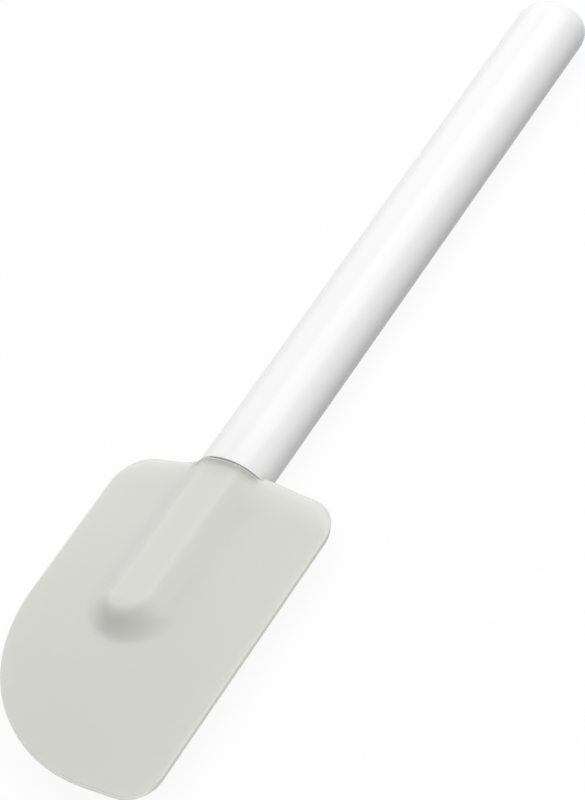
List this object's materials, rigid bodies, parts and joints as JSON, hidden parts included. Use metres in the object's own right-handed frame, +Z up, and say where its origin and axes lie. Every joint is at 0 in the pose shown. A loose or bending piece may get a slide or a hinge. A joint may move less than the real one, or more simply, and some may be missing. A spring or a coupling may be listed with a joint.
{
  "type": "silicone spatula",
  "caption": "Scraper spatula with a straight oval handle and a soft blade that has a raised rib, one large rounded tip corner and one small one.",
  "frame": {"origin": "centre of the bounding box in X and Y, on the surface that the spatula lies on", "axes": "+X along the handle towards its closed end, +Z up out of the spatula's front, +Y across the blade towards its large tip corner"},
  "size_m": [0.253, 0.06, 0.0147],
  "materials": {
    "handle": "plain white, smooth and glossy",
    "tang": "plain off-white, as moulded",
    "blade": "off-white silicone, smooth and satin"
  },
  "bodies": {
    "handle": {"handle_shell": "handle", "tang": "tang"},
    "blade": {"blade": "blade"}
  },
  "joints": [
    {"name": "blade_pull_off", "type": "slide", "parent": "handle", "child": "blade", "axis": [-1, 0, 0], "range_m": [0, 0.05]}
  ]
}
